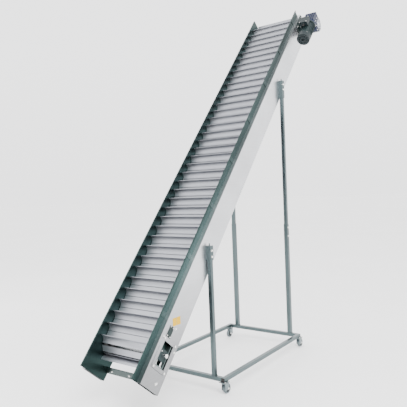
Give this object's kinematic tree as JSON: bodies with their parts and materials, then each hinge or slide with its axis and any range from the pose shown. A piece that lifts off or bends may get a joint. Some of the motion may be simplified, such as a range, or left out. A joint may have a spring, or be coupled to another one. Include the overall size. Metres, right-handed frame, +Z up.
{
  "type": "inclined slat conveyor",
  "caption": "Steep mobile slat conveyor: cross flights carry small parts up between two side frames, driven by a worm gearmotor at the top, on a wheeled square-tube stand.",
  "frame": {"origin": "centre of the whole box in plan, on the floor", "axes": "+Z up, +Y level along the conveyor from the low tail to the high head, +X across to the drive side"},
  "size_m": [0.93, 2.9364, 3.5179],
  "materials": {
    "belt_steel": "satin pressed sheet",
    "chain_steel": "oiled",
    "web_steel": "bright, finely brushed",
    "sheet_steel": "dull, reflects dark surroundings",
    "strap_steel": "satin",
    "rail_steel": "mill finish",
    "shaft_steel": "ground",
    "bearing_iron": "painted casting",
    "mount_paint": "satin",
    "gearbox_paint": "satin",
    "cover_alloy": "machined",
    "motor_paint": "satin",
    "cowl_black": "satin",
    "fan_plastic": "moulded",
    "rotor_steel": "turned",
    "tube_steel": "satin tube",
    "caster_zinc": "zinc plated",
    "wheel_rubber": "grey tread",
    "bolt_zinc": "zinc plated",
    "label_yellow": "plain, no print"
  },
  "bodies": {
    "frame": {"base_beam_front": "tube_steel", "base_beam_left": "tube_steel", "base_beam_rear": "tube_steel", "base_beam_right": "tube_steel", "caster_plates": "caster_zinc", "chain_rails_lower": "rail_steel", "chain_rails_upper": "rail_steel", "cross_members": "rail_steel", "drive_mount": "mount_paint", "fan_cowl": "cowl_black", "gearbox_cover": "cover_alloy", "gearbox_housing": "gearbox_paint", "guard_straps": "strap_steel", "head_bearings": "bearing_iron", "label_plates": "label_yellow", "motor_body": "motor_paint", "post_front_left": "tube_steel", "post_front_right": "tube_steel", "post_rear_left": "tube_steel", "post_rear_right": "tube_steel", "post_sleeves": "tube_steel", "rear_post_tubes": "tube_steel", "side_channel_left": "web_steel", "side_channel_right": "web_steel", "side_sheet_left": "sheet_steel", "side_sheet_right": "sheet_steel", "tail_cross_plate": "sheet_steel", "takeup_guides": "rail_steel", "takeup_plates": "web_steel", "terminal_box": "cowl_black", "web_bolts": "bolt_zinc"},
    "upper_run": {"chain_upper": "chain_steel", "slats_upper": "belt_steel", "flights_upper": "belt_steel"},
    "lower_run": {"chain_lower": "chain_steel", "slats_lower": "belt_steel", "flights_lower": "belt_steel"},
    "head_drum": {"head_shaft": "shaft_steel", "head_sprockets": "chain_steel", "chain_head": "chain_steel", "slats_head": "belt_steel", "flights_head": "belt_steel"},
    "takeup": {"takeup_block_left": "bearing_iron", "takeup_block_right": "bearing_iron", "takeup_screws": "shaft_steel"},
    "tail_drum": {"tail_shaft": "shaft_steel", "tail_wheels": "chain_steel", "chain_tail": "chain_steel", "slats_tail": "belt_steel", "flights_tail": "belt_steel"},
    "rotor": {"motor_rotor": "rotor_steel", "motor_fan": "fan_plastic"},
    "swivel_front_left": {"caster_fork_front_left": "caster_zinc"},
    "wheel_front_left": {"caster_wheel_front_left": "wheel_rubber"},
    "swivel_front_right": {"caster_fork_front_right": "caster_zinc"},
    "wheel_front_right": {"caster_wheel_front_right": "wheel_rubber"},
    "swivel_rear_left": {"caster_fork_rear_left": "caster_zinc"},
    "wheel_rear_left": {"caster_wheel_rear_left": "wheel_rubber"},
    "swivel_rear_right": {"caster_fork_rear_right": "caster_zinc"},
    "wheel_rear_right": {"caster_wheel_rear_right": "wheel_rubber"}
  },
  "joints": [
    {"name": "upper_travel", "type": "slide", "parent": "frame", "child": "upper_run", "axis": [0, 0.6561, 0.7547], "range_m": [-0.0254, 0.0254]},
    {"name": "lower_travel", "type": "slide", "parent": "frame", "child": "lower_run", "axis": [0, 0.6561, 0.7547], "range_m": [-0.0255, 0.0255]},
    {"name": "head_turn", "type": "hinge", "parent": "frame", "child": "head_drum", "pos_m": [-0.029, 1.32167, 3.33636], "axis": [-1, 0, 0], "range_deg": [-22.6, 22.6]},
    {"name": "takeup_adjust", "type": "slide", "parent": "frame", "child": "takeup", "axis": [0, 0.6561, 0.7547], "range_m": [-0.03, 0]},
    {"name": "tail_turn", "type": "hinge", "parent": "takeup", "child": "tail_drum", "pos_m": [-0.029, -1.17791, 0.46092], "axis": [-1, 0, 0], "range_deg": [-22.6, 22.6]},
    {"name": "rotor_turn", "type": "hinge", "parent": "frame", "child": "rotor", "pos_m": [0.396, 1.09699, 3.17393], "axis": [0, 0.6561, 0.7547], "range_deg": [-676, 676]},
    {"name": "swivel_front_left", "type": "hinge", "parent": "frame", "child": "swivel_front_left", "pos_m": [-0.433, -0.59647, 0.1], "axis": [0, 0, 1], "continuous": true},
    {"name": "roll_front_left", "type": "hinge", "parent": "swivel_front_left", "child": "wheel_front_left", "pos_m": [-0.433, -0.56447, 0.0375], "axis": [1, 0, 0], "continuous": true},
    {"name": "swivel_front_right", "type": "hinge", "parent": "frame", "child": "swivel_front_right", "pos_m": [0.375, -0.59647, 0.1], "axis": [0, 0, 1], "continuous": true},
    {"name": "roll_front_right", "type": "hinge", "parent": "swivel_front_right", "child": "wheel_front_right", "pos_m": [0.375, -0.56447, 0.0375], "axis": [1, 0, 0], "continuous": true},
    {"name": "swivel_rear_left", "type": "hinge", "parent": "frame", "child": "swivel_rear_left", "pos_m": [-0.433, 0.75053, 0.1], "axis": [0, 0, 1], "continuous": true},
    {"name": "roll_rear_left", "type": "hinge", "parent": "swivel_rear_left", "child": "wheel_rear_left", "pos_m": [-0.433, 0.71853, 0.0375], "axis": [1, 0, 0], "continuous": true},
    {"name": "swivel_rear_right", "type": "hinge", "parent": "frame", "child": "swivel_rear_right", "pos_m": [0.375, 0.75053, 0.1], "axis": [0, 0, 1], "continuous": true},
    {"name": "roll_rear_right", "type": "hinge", "parent": "swivel_rear_right", "child": "wheel_rear_right", "pos_m": [0.375, 0.78253, 0.0375], "axis": [1, 0, 0], "continuous": true}
  ],
  "couplings": [
    {"joint": "lower_travel", "follows": "upper_travel", "ratio": -1},
    {"joint": "head_turn", "follows": "upper_travel", "rad_per_m": 15.461},
    {"joint": "tail_turn", "follows": "upper_travel", "rad_per_m": 15.461},
    {"joint": "rotor_turn", "follows": "upper_travel", "rad_per_m": 463.82}
  ]
}
